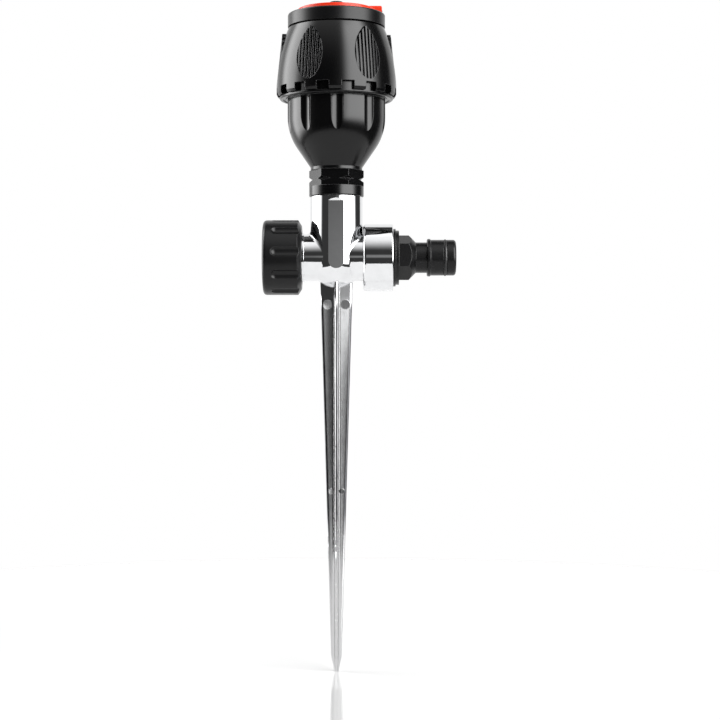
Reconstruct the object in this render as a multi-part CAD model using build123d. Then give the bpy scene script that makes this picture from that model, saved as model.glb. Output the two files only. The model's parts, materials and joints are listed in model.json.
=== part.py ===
from build123d import *
from math import acos, cos, floor, pi, radians, sin, tan
import os

# Rotary garden sprinkler on a ground spike.
# Millimetres. The origin lies on the spike's axis at the ground line, +Z is up, the hose inlet is +X.

# Fits
SEAT_FIT = 0.05
RUN_FIT = 0.08
END_PLAY = 0.2
AIR_GAP = 0.3
OVERRUN = 1.0
HEX_SIDES = 6

# Spike
SPIKE_LENGTH = 184.0
FIN_REACH = 7.7
FIN_FOOT_REACH = 2.6
FIN_THICKNESS = 2.0
FIN_DRAFT = 0.7
FIN_FOOT_DRAFT = 0.3
FIN_RISE = 4.0
POINT_LENGTH = 8.0
POINT_WIDTH = 1.8
POINT_THICKNESS = 1.0
POINT_DRAFT = 0.1
CORE_RADIUS = 2.0
CORE_FOOT_RADIUS = 1.3
MARK_HEIGHT = 0.3
UPPER_MARK_RADIUS = 2.25
UPPER_MARK_DROP = 8.0
UPPER_MARK_OFFSET = 4.3
LOWER_MARK_RADIUS = 1.3
LOWER_MARK_DROP = 97.5
LOWER_MARK_OFFSET = 2.6

# Tee
TUBE_RADIUS = 12.6
TUBE_TOP = 43.4
BARREL_RADIUS = 11.2
BARREL_HEIGHT = 14.5
CROTCH_FILLET = 1.8
FLAT_DEPTH = 0.56
FLAT_TOP_GAP = 2.4
FLAT_RUNOUT = 1.2
WATERWAY_RADIUS = 8.2
RISER_RADIUS = 7.4
HEAD_THREAD_RADIUS = 10.45
HEAD_SEAT_DEPTH = 13.0
HEAD_WASHER_THICKNESS = 1.5

# Inlet ring and hose nipple
RING_RADIUS = 16.1
RING_START = 12.7
RING_LENGTH = 14.4
RING_BACK_FILLET = 1.5
RING_FACE_FILLET = 0.6
INLET_THREAD_RADIUS = 12.65
INLET_SEAT_DEPTH = 11.5
INLET_WASHER_THICKNESS = 2.0
NIPPLE_BORE_RADIUS = 5.2
FLANGE_RADIUS = 13.8
FLANGE_LENGTH = 1.2
FLANGE_STEP_RADIUS = 13.0
FLANGE_STEP_LENGTH = 1.6
NIPPLE_HEX_RADIUS = 10.8
NIPPLE_HEX_LENGTH = 4.7
NIPPLE_HEX_ANGLE = 25.0
NIPPLE_CONE_LENGTH = 3.4
NIPPLE_NECK_RADIUS = 7.3
NIPPLE_NECK_LENGTH = 5.4
RIDGE_RADIUS = 9.0
RIDGE_LENGTH = 1.8
RIDGE_CHAMFER = 0.4
LAND_RADIUS = 8.55
LAND_LENGTH = 6.0
NIPPLE_RING_SECTION = 0.9
NIPPLE_RING_PROUD = 0.25
NOSE_LENGTH = 4.2
NOSE_FILLET = 1.4

# Second outlet and its cap
OUTLET_THREAD_RADIUS = 12.6
OUTLET_FACE = 30.4
OUTLET_THREAD_LENGTH = 12.0
OUTLET_THREAD_DEPTH = 0.9
CAP_STOP_RADIUS = 11.7
CAP_STOP_LENGTH = 0.9
CAP_WASHER_THICKNESS = 2.0
CAP_RADIUS = 17.9
CAP_LENGTH = 18.4
CAP_END_WALL = 2.6
CAP_END_FILLET = 1.8
CAP_MOUTH_RISE = 2.6
CAP_MOUTH_RUN = 1.7
SCALLOP_COUNT = 10
SCALLOP_RADIUS = 2.9
SCALLOP_DEPTH = 1.2
SCALLOP_START = 5.0
SCALLOP_TURN = -6.5

# Lower housing
NECK_COLLAR_RADIUS = 13.1
NECK_COLLAR_HEIGHT = 5.1
NECK_COLLAR_FILLET = 0.8
NECK_HEX_RADIUS = 13.1
NECK_HEX_HEIGHT = 7.7
NECK_HEX_ANGLE = -3.0
NECK_GROOVE_RADIUS = 11.5
NECK_GROOVE_HEIGHT = 3.2
NECK_GROOVE_WIDTH = 2.4
NECK_RADIUS = 12.4
NECK_HEIGHT = 1.4
NECK_BORE_RADIUS = 6.6
BOWL_RADIUS = 23.4
BOWL_CONE_ANGLE = 34.5
BOWL_BEND = 26.0
BOWL_STRAIGHT = 8.3
BOWL_WALL = 2.2
BOWL_CONE_WALL = 3.2
FLUTE_COUNT = 9
FLUTE_CUTTER_RADIUS = 4.0
FLUTE_DEPTH = 1.4
FLUTE_TURN = 2.0
LIP_RADIUS = 27.2
LIP_HEIGHT = 1.2
LIP_FILLET = 0.7
LIP_GROOVE_RADIUS = 24.9
LIP_GROOVE_WIDTH = 1.2
LIP_GROOVE_DEPTH = 0.4
SNAP_COLLAR_OVER = 1.2
STOP_LUG_HEIGHT = 3.0
STOP_LUG_WIDTH = 4.0

# Strainer and throttle plates
STRAINER_FLANGE = 1.2
STRAINER_WALL = 0.9
STRAINER_LENGTH = 20.0
STRAINER_SLOTS = 10
STRAINER_SLOT_WIDTH = 1.2
STRAINER_SLOT_LENGTH = 15.0
LEDGE_RISE = 0.8
PORT_PLATE_THICKNESS = 2.2
PORT_COUNT = 4
PORT_ANGLE = 40.0
PORT_RADIUS = 7.0
PORT_RIM = 2.0
THROTTLE_THICKNESS = 2.4

# Upper housing
SLEEVE_RIM_RADIUS = 28.7
SLEEVE_TOP_RADIUS = 22.9
SLEEVE_HEIGHT = 33.0
SLEEVE_STRAIGHT = 4.5
SLEEVE_TOP_FILLET = 0.8
SKIRT_WALL = 2.3
ROOF_THICKNESS = 2.4
NOTCH_COUNT = 15
NOTCH_HEIGHT = 3.8
NOTCH_SHARE = 0.5
TOOTH_TURN = -0.2
TOOTH_BEVEL_RUN = 0.6
TOOTH_BEVEL_RISE = 1.3
BEAD_HEIGHT = 1.2
BEAD_REACH = 0.6
INNER_WALL = 3.3
SHOULDER_WIDTH = 1.0
SEAL_SECTION = 0.85
SEAL_RISE = 4.0
STOP_RIB_WIDTH = 1.6
TWIST_ANGLE = 45.0
HUB_LENGTH = 7.0
HUB_RADIUS = 10.0
HUB_BORE_RADIUS = 7.6

# Leaf-shaped grips
GRIP_COUNT = 6
GRIP_TURN = 3.0
GRIP_WIDTH = 13.4
GRIP_FOOT = 5.0
GRIP_LOWER = 11.3
GRIP_UPPER = 13.9
GRIP_DEPTH = 1.2
GRIP_TIP_RADIUS = 26.0
RIB_COUNT = 7
RIB_PITCH = 1.85
RIB_WIDTH = 0.9

# Turbine
PLENUM_HEIGHT = 1.2
STATOR_FLOOR = 2.4
STATOR_WALL = 1.4
STATOR_JETS = 6
JET_WIDTH = 2.2
JET_TILT = 40.0
JET_MARGIN = 0.8
TURBINE_GAP = 0.8
TURBINE_HEIGHT = 4.6
TURBINE_RIM_GAP = 1.5
TURBINE_HUB_RADIUS = 4.5
BLADE_COUNT = 10
BLADE_THICKNESS = 1.0
BLADE_TILT = 35.0
TURBINE_SHAFT_RADIUS = 1.0
SHAFT_FOOT = 1.6

# Gear train
WHEEL_TEETH = 30
PINION_TEETH = 10
PRESSURE_ANGLE = 25.0
ADDENDUM = 0.8
DEDENDUM = 1.05
BACKLASH = 0.1
MODULE_STEP = 0.05
IDLER_SPREAD = 60.0
GEAR_STAGES = 3
GEAR_FACE = 2.2
GEAR_GAP = 0.4
CASE_FLOOR = 1.5
CASE_WALL = 1.1
CASE_CLEARANCE = 0.5
CASE_FLOW_GAP = 0.7
CASE_WINDOW_SPAN = 70.0
CASE_WINDOW_MARGIN = 1.0
COVER_THICKNESS = 1.6
AXLE_RADIUS = 0.8
AXLE_SEAT = 1.0
IDLER_HUB_RADIUS = 1.3
OUTPUT_HUB_RADIUS = 3.0
PILOT_DEPTH = 1.2

# Output shaft
SHAFT_RADIUS = 6.0
SHAFT_BORE_RADIUS = 4.2
SHAFT_FLOOR = 2.0
SHAFT_FLOOR_GAP = 0.6
SHAFT_PORT_WIDTH = 4.0
SHAFT_PORTS = 4
THRUST_RADIUS = 8.6
THRUST_THICKNESS = 1.6
THRUST_WASHER = 1.0
BUSH_LENGTH = 3.6
SHAFT_SEAL_LENGTH = 2.4

# Turret
TURRET_GAP = 0.3
TURRET_RADIUS = 23.3
TURRET_HEIGHT = 6.2
TURRET_EDGE = 0.8
TURRET_WALL = 2.4
TURRET_RECESS = 1.8
TURRET_CORE_RADIUS = 10.0
TURRET_FLOOR = 1.6
TOP_RADIUS = 19.2
TOP_THICKNESS = 4.2
TOP_STEP = 0.6
TOP_STEP_HEIGHT = 1.2
TOP_EDGE = 0.5
HOOD_START = 12.0
HOOD_REACH = 21.8
HOOD_WIDTH = 7.0
HOOD_HEIGHT = 3.9
HOOD_EDGE = 1.0
CHANNEL_RADIUS = 1.1
CHANNEL_HEIGHT = 1.7
JET_ELEVATION = 17.0
JET_START = 13.5
NOZZLE_RADIUS = 1.0
NOZZLE_BORE_RADIUS = 0.6
NOZZLE_LENGTH = 5.6

# Range plug and knob
PLUG_RADIUS = 2.6
PLUG_WALL = 0.9
PLUG_HEIGHT = 3.0
PLUG_WINDOW = 2.0
STEM_RADIUS = 1.5
STEM_REACH = 2.4
KNOB_RADIUS = 3.4
KNOB_HEIGHT = 3.6
KNOB_NOTCHES = 12
KNOB_NOTCH_RADIUS = 0.5
KNOB_EDGE = 0.4

# Heights and radii that follow from the sizes above
DOME_HEIGHT = TUBE_RADIUS
RING_FACE = RING_START + RING_LENGTH
CAP_FACE = OUTLET_FACE + CAP_WASHER_THICKNESS + CAP_END_WALL
HEAD_SEAT = TUBE_TOP - HEAD_SEAT_DEPTH
HEX_FOOT = TUBE_TOP + NECK_COLLAR_HEIGHT
HEX_TOP = HEX_FOOT + NECK_HEX_HEIGHT
BOWL_FOOT = HEX_TOP + NECK_HEIGHT
CONE = radians(BOWL_CONE_ANGLE)
BEND_RADIUS_IN = BOWL_RADIUS - BOWL_BEND * (1 - cos(CONE))
BEND_FOOT = BOWL_FOOT + (BEND_RADIUS_IN - NECK_RADIUS) / tan(CONE)
BEND_TOP = BEND_FOOT + BOWL_BEND * sin(CONE)
WALL_TOP = BEND_TOP + BOWL_STRAIGHT
LIP_TOP = WALL_TOP + LIP_HEIGHT
BORE_RADIUS = BOWL_RADIUS - BOWL_WALL
LEDGE = BEND_TOP + LEDGE_RISE
PLATE_TOP = LEDGE + PORT_PLATE_THICKNESS
SLEEVE_FOOT = LIP_TOP + AIR_GAP
SLEEVE_TOP = SLEEVE_FOOT + SLEEVE_HEIGHT
SKIRT_RADIUS = SLEEVE_RIM_RADIUS - SKIRT_WALL
COLLAR_RADIUS = SKIRT_RADIUS - AIR_GAP
BEAD_FOOT = SLEEVE_FOOT + NOTCH_HEIGHT + AIR_GAP
BEAD_RADIUS = COLLAR_RADIUS - BEAD_REACH
COLLAR_TOP = BEAD_FOOT + BEAD_HEIGHT + AIR_GAP + SNAP_COLLAR_OVER
INNER_RADIUS = BORE_RADIUS - RUN_FIT
INNER_FOOT = PLATE_TOP + AIR_GAP
STACK_RADIUS = INNER_RADIUS - INNER_WALL
SHOULDER_RADIUS = STACK_RADIUS - SHOULDER_WIDTH
DISC_RADIUS = STACK_RADIUS - SEAT_FIT
THROTTLE_TOP = INNER_FOOT + THROTTLE_THICKNESS
STATOR_TOP = THROTTLE_TOP + PLENUM_HEIGHT + STATOR_FLOOR
TURBINE_FOOT = STATOR_TOP + TURBINE_GAP
TURBINE_RADIUS = DISC_RADIUS - STATOR_WALL - TURBINE_RIM_GAP
CASE_FOOT = TURBINE_FOOT + TURBINE_HEIGHT + TURBINE_GAP
CASE_DECK = CASE_FOOT + CASE_FLOOR
LEVELS = [CASE_DECK + GEAR_GAP + level * (GEAR_FACE + GEAR_GAP) for level in range(GEAR_STAGES)]
CASE_TOP = LEVELS[-1] + GEAR_FACE + GEAR_GAP
COVER_TOP = CASE_TOP + COVER_THICKNESS
TRAIN_REACH = (WHEEL_TEETH + PINION_TEETH) / 2 + WHEEL_TEETH / 2 + ADDENDUM
TRAIN_ROOM = SHOULDER_RADIUS - CASE_FLOW_GAP - CASE_WALL - CASE_CLEARANCE
MODULE = floor(TRAIN_ROOM / TRAIN_REACH / MODULE_STEP) * MODULE_STEP
CENTRE_DISTANCE = MODULE * (WHEEL_TEETH + PINION_TEETH) / 2
CASE_RADIUS = MODULE * (WHEEL_TEETH / 2 + ADDENDUM) + CASE_CLEARANCE
AXLES = [(0.0, 0.0)] + [
    (CENTRE_DISTANCE * cos(turn), CENTRE_DISTANCE * sin(turn))
    for turn in (0.0, radians(IDLER_SPREAD))
]
SHAFT_FOOT_HEIGHT = COVER_TOP + SHAFT_FLOOR_GAP
SHAFT_DECK = SHAFT_FOOT_HEIGHT + SHAFT_FLOOR
HUB_FOOT = SLEEVE_TOP - HUB_LENGTH
THRUST_TOP = HUB_FOOT - THRUST_WASHER - END_PLAY
TURRET_FOOT = SLEEVE_TOP + TURRET_GAP
TURRET_TOP = TURRET_FOOT + TURRET_HEIGHT
TOP_FOOT = TURRET_TOP - TURRET_RECESS
TOP_HEIGHT = TOP_FOOT + TOP_THICKNESS
CHANNEL = TOP_FOOT + CHANNEL_HEIGHT
KNOB_FOOT = TOP_HEIGHT + END_PLAY


def rod(radius, foot, top):
    """A cylinder on the Z axis between two heights."""
    return extrude(Plane.XY.offset(foot) * Circle(radius), top - foot)


def ring(outer, inner, foot, top):
    """A plain ring on the Z axis between two heights."""
    return extrude(Plane.XY.offset(foot) * (Circle(outer) - Circle(inner)), top - foot)


def turned(*edges):
    """A body turned about the Z axis from edges given as radius and height."""
    return revolve(Plane.XZ * make_face(edges), Axis.Z)


def barrel_rod(radius, start, end):
    """A cylinder on the barrel's axis between two distances from the spike's axis."""
    lying = Plane.YZ.offset(start) * Circle(radius)
    return Pos(0, 0, BARREL_HEIGHT) * extrude(lying, end - start)


def around(piece, count, turn=0.0):
    """Copies of a piece at an even pitch about the Z axis."""
    return [Rot(0, 0, turn + step * 360.0 / count) * piece for step in range(count)]


def sector(outer, inner, span, foot, top):
    """A slice of a ring, centred on the X axis."""
    half = radians(span / 2)
    far = outer / cos(half)
    wedge = Polygon((0, 0), (far, -far * tan(half)), (far, far * tan(half)))
    return extrude(Plane.XY.offset(foot) * (wedge & (Circle(outer) - Circle(inner))), top - foot)


def fin_section(height, reach, draft, thickness):
    """Cross-section of two opposite fins, thicker at the root, with round edges."""
    half = thickness / 2
    flank = reach - half
    outline = [
        Polyline((-flank, half), (0, half + draft), (flank, half)),
        ThreePointArc((flank, half), (reach, 0), (flank, -half)),
        Polyline((flank, -half), (0, -half - draft), (-flank, -half)),
        ThreePointArc((-flank, -half), (-reach, 0), (-flank, half)),
    ]
    return Plane.XY.offset(height) * make_face(outline)


def fin_shape(drop):
    """Reach and draft of a fin at a distance below the ground line."""
    share = drop / (SPIKE_LENGTH - POINT_LENGTH)
    reach = FIN_REACH + share * (FIN_FOOT_REACH - FIN_REACH)
    return reach, FIN_DRAFT + share * (FIN_FOOT_DRAFT - FIN_DRAFT)


def spike_fin(turn):
    """Two opposite fins with draft and rounded edges, tapering to the point."""
    sections = [
        fin_section(-drop, *fin_shape(drop), FIN_THICKNESS)
        for drop in (-FIN_RISE, SPIKE_LENGTH - POINT_LENGTH)
    ]
    sections.append(fin_section(-SPIKE_LENGTH, POINT_WIDTH / 2, POINT_DRAFT, POINT_THICKNESS))
    return Rot(0, 0, turn) * loft(sections, ruled=True)


def spike_marks():
    """Round pads on the front faces of the side fins."""
    front = Plane((0, 0, 0), x_dir=(1, 0, 0), z_dir=(0, -1, 0))
    spots = [
        (UPPER_MARK_RADIUS, UPPER_MARK_OFFSET, UPPER_MARK_DROP),
        (LOWER_MARK_RADIUS, LOWER_MARK_OFFSET, LOWER_MARK_DROP),
    ]
    pads = []
    for radius, offset_x, drop in spots:
        reach, draft = fin_shape(drop)
        face = FIN_THICKNESS / 2 + draft * (1 - offset_x / reach)
        for side in (-1, 1):
            disc = front * Pos(side * offset_x, -drop) * Circle(radius)
            pads.append(extrude(disc, face + MARK_HEIGHT, dir=(0, -1, 0)))
    return pads


def tee_flat():
    """Tool for the flat down the front of the tube, with a sloped run-out at its top."""
    depth = TUBE_RADIUS - FLAT_DEPTH
    top = TUBE_TOP - FLAT_TOP_GAP
    outline = Polyline(
        (depth, 0),
        (depth, top),
        (TUBE_RADIUS, top + FLAT_RUNOUT),
        (TUBE_RADIUS + OVERRUN, top + FLAT_RUNOUT),
        (TUBE_RADIUS + OVERRUN, 0),
        close=True,
    )
    return extrude(Plane.YZ * make_face(outline), TUBE_RADIUS, both=True)


def spike_body():
    """The casting: spike, tee, inlet ring and the threaded second outlet."""
    tube = rod(TUBE_RADIUS, DOME_HEIGHT, TUBE_TOP) + Pos(0, 0, DOME_HEIGHT) * Sphere(TUBE_RADIUS)
    barrel = barrel_rod(BARREL_RADIUS, OUTLET_THREAD_LENGTH - OUTLET_FACE, RING_START)
    tee = tube + barrel
    crotch = [edge for edge in tee.edges() if edge.geom_type not in (GeomType.CIRCLE, GeomType.LINE)]
    tee = fillet(crotch, CROTCH_FILLET)
    flat = tee_flat()
    tee -= [flat, Rot(0, 0, 180) * flat]
    socket = barrel_rod(RING_RADIUS, RING_START, RING_FACE)
    rims = socket.edges().filter_by(GeomType.CIRCLE).sort_by(Axis.X)
    socket = fillet(rims[0], RING_BACK_FILLET)
    rims = socket.edges().filter_by(GeomType.CIRCLE).sort_by(Axis.X)
    socket = fillet(rims[-1], RING_FACE_FILLET)
    outlet_core = OUTLET_THREAD_RADIUS - OUTLET_THREAD_DEPTH
    outlet = barrel_rod(outlet_core, -OUTLET_FACE, OUTLET_THREAD_LENGTH - OUTLET_FACE)
    stop_end = CAP_LENGTH - CAP_FACE + CAP_STOP_LENGTH + AIR_GAP
    stop = barrel_rod(CAP_STOP_RADIUS, stop_end - CAP_STOP_LENGTH, stop_end)
    core = loft(
        [
            Plane.XY.offset(FIN_RISE) * Circle(CORE_RADIUS),
            Plane.XY.offset(POINT_LENGTH - SPIKE_LENGTH) * Circle(CORE_FOOT_RADIUS),
        ],
        ruled=True,
    )
    body = tee
    for added in [socket, outlet, stop, core, spike_fin(0), spike_fin(90)] + spike_marks():
        body += added
    waterways = [
        rod(RISER_RADIUS, BARREL_HEIGHT, TUBE_TOP),
        rod(HEAD_THREAD_RADIUS, HEAD_SEAT, TUBE_TOP),
        barrel_rod(WATERWAY_RADIUS, -OUTLET_FACE, RING_FACE),
        barrel_rod(INLET_THREAD_RADIUS, RING_FACE - INLET_SEAT_DEPTH, RING_FACE),
    ]
    for waterway in waterways:
        body -= waterway
    return body


def barrel_turned(points):
    """A body turned about the barrel's axis from points given as distance and radius."""
    face = Plane.XZ * make_face(Polyline(*points, close=True))
    return Pos(0, 0, BARREL_HEIGHT) * revolve(face, Axis.X)


def nipple_stations():
    """Distances of the nipple's steps from the spike's axis, from the inlet ring outwards."""
    lengths = [
        FLANGE_LENGTH,
        FLANGE_STEP_LENGTH,
        NIPPLE_HEX_LENGTH,
        NIPPLE_CONE_LENGTH,
        NIPPLE_NECK_LENGTH,
        RIDGE_LENGTH,
        LAND_LENGTH,
        2 * NIPPLE_RING_SECTION,
        NOSE_LENGTH,
    ]
    stations = [RING_FACE]
    for length in lengths:
        stations.append(stations[-1] + length)
    return stations


def inlet_adapter():
    """Hose nipple: threaded shank, stepped flange, hexagon, neck, ridge, land and nose."""
    face, step, hexagon, cone, neck, ridge, land, groove, nose, end = nipple_stations()
    shank = RING_FACE - INLET_SEAT_DEPTH + INLET_WASHER_THICKNESS
    groove_radius = LAND_RADIUS + NIPPLE_RING_PROUD - 2 * NIPPLE_RING_SECTION
    body = barrel_turned(
        [
            (shank, 0),
            (shank, INLET_THREAD_RADIUS - SEAT_FIT),
            (face, INLET_THREAD_RADIUS - SEAT_FIT),
            (face, FLANGE_RADIUS),
            (step, FLANGE_RADIUS),
            (step, FLANGE_STEP_RADIUS),
            (hexagon, FLANGE_STEP_RADIUS),
            (hexagon, NIPPLE_NECK_RADIUS),
            (ridge, NIPPLE_NECK_RADIUS),
            (ridge, RIDGE_RADIUS - RIDGE_CHAMFER),
            (ridge + RIDGE_CHAMFER, RIDGE_RADIUS),
            (land - RIDGE_CHAMFER, RIDGE_RADIUS),
            (land, LAND_RADIUS),
            (groove, LAND_RADIUS),
            (groove, groove_radius),
            (nose, groove_radius),
            (nose, LAND_RADIUS),
            (end, LAND_RADIUS),
            (end, 0),
        ]
    )
    tip = body.edges().filter_by(GeomType.CIRCLE).sort_by(Axis.X)[-1]
    body = fillet(tip, NOSE_FILLET)
    flats = RegularPolygon(NIPPLE_HEX_RADIUS, HEX_SIDES, rotation=NIPPLE_HEX_ANGLE)
    prism = Pos(0, 0, BARREL_HEIGHT) * extrude(Plane.YZ.offset(hexagon) * flats, neck - hexagon)
    taper = barrel_turned(
        [
            (hexagon, 0),
            (hexagon, NIPPLE_HEX_RADIUS),
            (cone, NIPPLE_HEX_RADIUS),
            (neck, NIPPLE_NECK_RADIUS),
            (neck, 0),
        ]
    )
    return body + (prism & taper) - barrel_rod(NIPPLE_BORE_RADIUS, shank, end)


def nipple_o_ring():
    """O-ring in the groove behind the nose."""
    stations = nipple_stations()
    centre = LAND_RADIUS + NIPPLE_RING_PROUD - NIPPLE_RING_SECTION
    middle = (stations[-3] + stations[-2]) / 2
    return Pos(middle, 0, BARREL_HEIGHT) * Rot(0, 90, 0) * Torus(centre, NIPPLE_RING_SECTION)


def inlet_washer():
    """Flat washer on the floor of the inlet ring."""
    floor_x = RING_FACE - INLET_SEAT_DEPTH
    disc = barrel_rod(INLET_THREAD_RADIUS - SEAT_FIT, floor_x, floor_x + INLET_WASHER_THICKNESS)
    return disc - barrel_rod(WATERWAY_RADIUS, floor_x, RING_FACE)


def end_cap_washer():
    """Flat washer between the second outlet and the cap's end wall."""
    disc = barrel_rod(OUTLET_THREAD_RADIUS, -OUTLET_FACE - CAP_WASHER_THICKNESS, -OUTLET_FACE)
    return disc - barrel_rod(WATERWAY_RADIUS, -CAP_FACE, -OUTLET_FACE)


def end_cap():
    """Screw cap with scallops that start as a ball and run out at the mouth."""
    mouth = CAP_LENGTH - CAP_FACE
    body = barrel_turned(
        [
            (-CAP_FACE, 0),
            (-CAP_FACE, CAP_RADIUS),
            (mouth - CAP_MOUTH_RUN, CAP_RADIUS),
            (mouth, CAP_RADIUS - CAP_MOUTH_RISE),
            (mouth, 0),
        ]
    )
    rim = body.edges().filter_by(GeomType.CIRCLE).sort_by(Axis.X)[0]
    body = fillet(rim, CAP_END_FILLET)
    body -= barrel_rod(OUTLET_THREAD_RADIUS + RUN_FIT, CAP_END_WALL - CAP_FACE, mouth)
    reach = CAP_RADIUS - SCALLOP_DEPTH + SCALLOP_RADIUS
    start = SCALLOP_START - CAP_FACE + SCALLOP_RADIUS / 2
    lying = Plane((start, -reach, 0), x_dir=(0, 1, 0), z_dir=(1, 0, 0))
    groove = extrude(lying * Circle(SCALLOP_RADIUS), mouth - start)
    groove += Pos(start, -reach, 0) * Sphere(SCALLOP_RADIUS)
    lift = Pos(0, 0, BARREL_HEIGHT)
    pitch = 360.0 / SCALLOP_COUNT
    return body - [lift * Rot(SCALLOP_TURN + step * pitch, 0, 0) * groove for step in range(SCALLOP_COUNT)]


def head_washer():
    """Flat washer under the head's threaded shank."""
    outer = HEAD_THREAD_RADIUS - SEAT_FIT
    return ring(outer, RISER_RADIUS, HEAD_SEAT, HEAD_SEAT + HEAD_WASHER_THICKNESS)


def bowl_edges(inset, foot, top):
    """Wall of the bowl at an inset: cone, bend and straight, as turning edges from foot to top."""
    drop = inset / cos(CONE)
    foot_point = (NECK_RADIUS - drop, foot)
    bend_foot = (BEND_RADIUS_IN - inset * cos(CONE), BEND_FOOT + inset * sin(CONE))
    bend_top = (BOWL_RADIUS - inset, BEND_TOP)
    bend = TangentArc(bend_top, bend_foot, tangent=(0, -1))
    return [Line(foot_point, bend_foot), bend, Line(bend_top, (BOWL_RADIUS - inset, top))]


def lower_housing_outside():
    """Outside of the lower housing with the shank, neck, bowl, grooved lip and snap collar."""
    lip_edge = LIP_RADIUS - LIP_FILLET
    outside = turned(
        *bowl_edges(0, BOWL_FOOT, WALL_TOP),
        Line((BOWL_RADIUS, WALL_TOP), (lip_edge, WALL_TOP)),
        TangentArc((lip_edge, WALL_TOP), (LIP_RADIUS, WALL_TOP + LIP_FILLET), tangent=(1, 0)),
        Polyline(
            (LIP_RADIUS, WALL_TOP + LIP_FILLET),
            (LIP_RADIUS, LIP_TOP),
            (COLLAR_RADIUS, LIP_TOP),
            (COLLAR_RADIUS, COLLAR_TOP),
            (0, COLLAR_TOP),
            (0, BOWL_FOOT),
            (NECK_RADIUS, BOWL_FOOT),
        ),
    )
    lip_groove = (LIP_GROOVE_RADIUS + LIP_GROOVE_WIDTH / 2, LIP_GROOVE_RADIUS - LIP_GROOVE_WIDTH / 2)
    outside -= ring(*lip_groove, WALL_TOP, WALL_TOP + LIP_GROOVE_DEPTH)
    groove_radius = BEAD_RADIUS - AIR_GAP
    groove_top = BEAD_FOOT + BEAD_HEIGHT + AIR_GAP
    outside -= ring(COLLAR_RADIUS + OVERRUN, groove_radius, BEAD_FOOT - AIR_GAP, groove_top)
    collar = rod(NECK_COLLAR_RADIUS, TUBE_TOP, HEX_FOOT)
    collar = fillet(collar.edges().filter_by(GeomType.CIRCLE).sort_by(Axis.Z)[0], NECK_COLLAR_FILLET)
    flats = Plane.XY.offset(HEX_FOOT) * RegularPolygon(NECK_HEX_RADIUS, HEX_SIDES, rotation=NECK_HEX_ANGLE)
    middle = HEX_FOOT + NECK_GROOVE_HEIGHT
    groove = turned(
        Polyline(
            (NECK_GROOVE_RADIUS, middle),
            (NECK_HEX_RADIUS, middle - NECK_GROOVE_WIDTH / 2),
            (NECK_HEX_RADIUS, middle + NECK_GROOVE_WIDTH / 2),
            close=True,
        )
    )
    shank_foot = HEAD_SEAT + HEAD_WASHER_THICKNESS
    return outside + [
        rod(HEAD_THREAD_RADIUS - SEAT_FIT, shank_foot, TUBE_TOP),
        collar,
        extrude(flats, NECK_HEX_HEIGHT) - groove,
        rod(NECK_RADIUS, HEX_TOP, BOWL_FOOT),
    ]


def bowl_flute():
    """Tool for one upright flute at the front of the bowl, which runs out where the wall draws in."""
    flute_axis = BOWL_RADIUS - FLUTE_DEPTH + FLUTE_CUTTER_RADIUS
    return Pos(0, -flute_axis, 0) * rod(FLUTE_CUTTER_RADIUS, BOWL_FOOT, WALL_TOP)


def stop_lug():
    """Lug on the snap collar that limits the twist of the upper housing."""
    width = (COLLAR_RADIUS - BORE_RADIUS) / 2
    middle = (COLLAR_RADIUS + BORE_RADIUS) / 2
    block = Box(width, STOP_LUG_WIDTH, STOP_LUG_HEIGHT, align=(Align.CENTER, Align.CENTER, Align.MIN))
    return Pos(middle, 0, COLLAR_TOP) * block


def lower_housing():
    """Threaded neck, fluted bowl and the collar that the upper housing snaps on."""
    body = lower_housing_outside()
    body -= around(bowl_flute(), FLUTE_COUNT, FLUTE_TURN)
    shank_foot = HEAD_SEAT + HEAD_WASHER_THICKNESS
    inside = turned(
        *bowl_edges(BOWL_CONE_WALL, BOWL_FOOT, LEDGE),
        Polyline(
            (BOWL_RADIUS - BOWL_CONE_WALL, LEDGE),
            (BORE_RADIUS, LEDGE),
            (BORE_RADIUS, COLLAR_TOP),
            (0, COLLAR_TOP),
            (0, shank_foot),
            (NECK_BORE_RADIUS, shank_foot),
            (NECK_BORE_RADIUS, BOWL_FOOT),
            (NECK_RADIUS - BOWL_CONE_WALL / cos(CONE), BOWL_FOOT),
        ),
    )
    return body - inside + stop_lug()


def inlet_strainer():
    """Slotted thimble hanging in the neck from its flange."""
    outer = NECK_BORE_RADIUS - SEAT_FIT
    flange_radius = NECK_RADIUS - BOWL_CONE_WALL / cos(CONE)
    foot = BOWL_FOOT - STRAINER_LENGTH
    body = rod(outer, foot, BOWL_FOOT) + rod(flange_radius, BOWL_FOOT, BOWL_FOOT + STRAINER_FLANGE)
    body -= rod(outer - STRAINER_WALL, foot + STRAINER_WALL, BOWL_FOOT + STRAINER_FLANGE)
    slot = Pos(outer, 0, foot + STRAINER_LENGTH / 2) * Box(outer, STRAINER_SLOT_WIDTH, STRAINER_SLOT_LENGTH)
    return body - around(slot, STRAINER_SLOTS)


def port_ring(radius, foot, top):
    """A disc with the throttle's sector ports."""
    port = sector(DISC_RADIUS - PORT_RIM, PORT_RADIUS, PORT_ANGLE, foot, top)
    return rod(radius, foot, top) - around(port, PORT_COUNT)


def port_plate():
    """Fixed plate with sector ports on the ledge of the bowl."""
    return port_ring(BORE_RADIUS - SEAT_FIT, LEDGE, PLATE_TOP)


def throttle_disc():
    """Ported disc that turns with the upper housing over the port plate."""
    return port_ring(DISC_RADIUS, INNER_FOOT, THROTTLE_TOP)


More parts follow.
